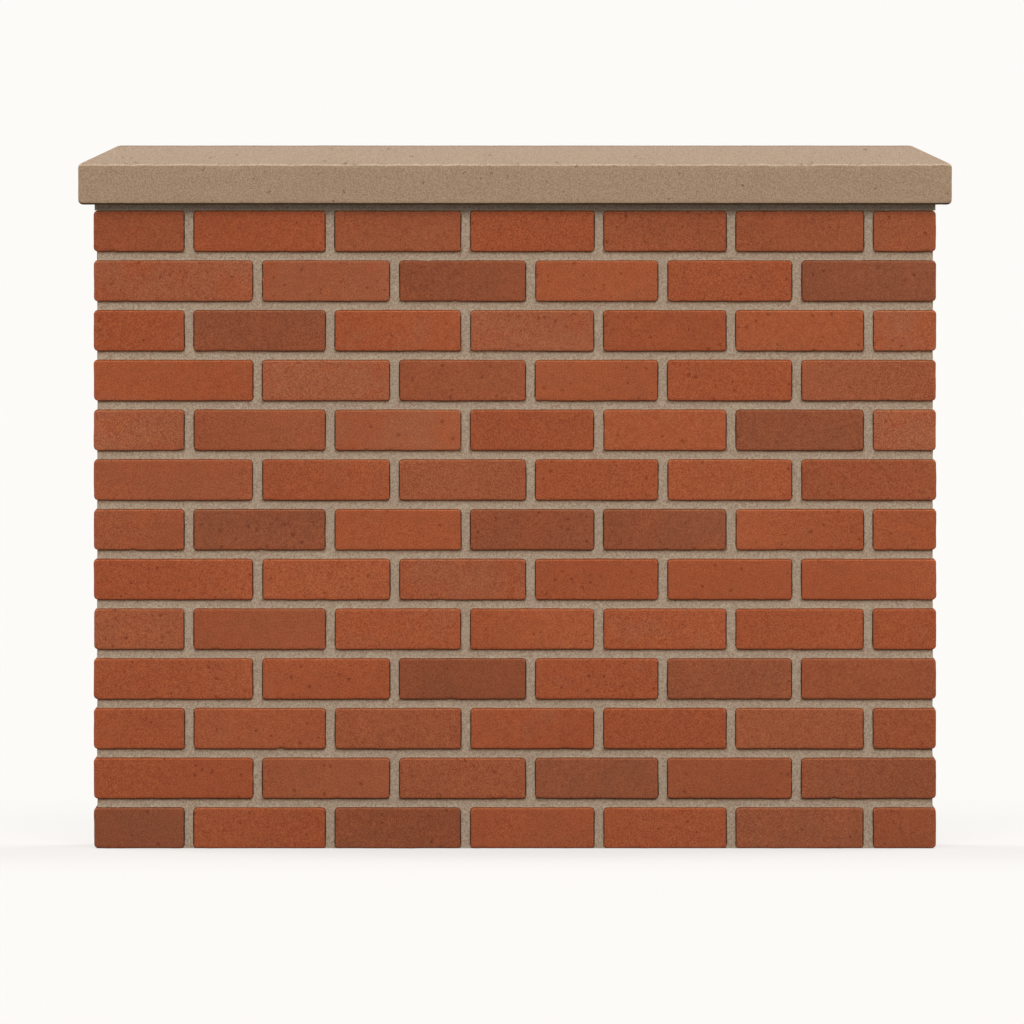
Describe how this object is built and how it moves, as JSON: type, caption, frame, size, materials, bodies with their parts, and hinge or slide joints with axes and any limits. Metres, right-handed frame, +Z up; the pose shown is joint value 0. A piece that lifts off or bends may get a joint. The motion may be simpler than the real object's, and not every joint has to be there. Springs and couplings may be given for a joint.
{
  "type": "brick garden wall",
  "caption": "Freestanding garden wall of red-orange bricks in raked sandy mortar, one brick thick, under a tan stone coping with a sloping top; it marks off part of a garden.",
  "frame": {"origin": "middle of the wall's foot, on the ground", "axes": "+X along the wall, +Y from the front face to the back face, +Z up"},
  "size_m": [1.316, 0.261, 1.06],
  "materials": {
    "brick": "matt fired clay",
    "mortar": "matt sandy",
    "coping_stone": "matt fine-grained"
  },
  "bodies": {
    "root": {"course_01": "brick", "course_02": "brick", "course_03": "brick", "course_04": "brick", "course_05": "brick", "course_06": "brick", "course_07": "brick", "course_08": "brick", "course_09": "brick", "course_10": "brick", "course_11": "brick", "course_12": "brick", "course_13": "brick", "bed_joint_01": "mortar", "bed_joint_02": "mortar", "bed_joint_03": "mortar", "bed_joint_04": "mortar", "bed_joint_05": "mortar", "bed_joint_06": "mortar", "bed_joint_07": "mortar", "bed_joint_08": "mortar", "bed_joint_09": "mortar", "bed_joint_10": "mortar", "bed_joint_11": "mortar", "bed_joint_12": "mortar", "coping_bed": "mortar", "coping": "coping_stone"}
  },
  "joints": []
}
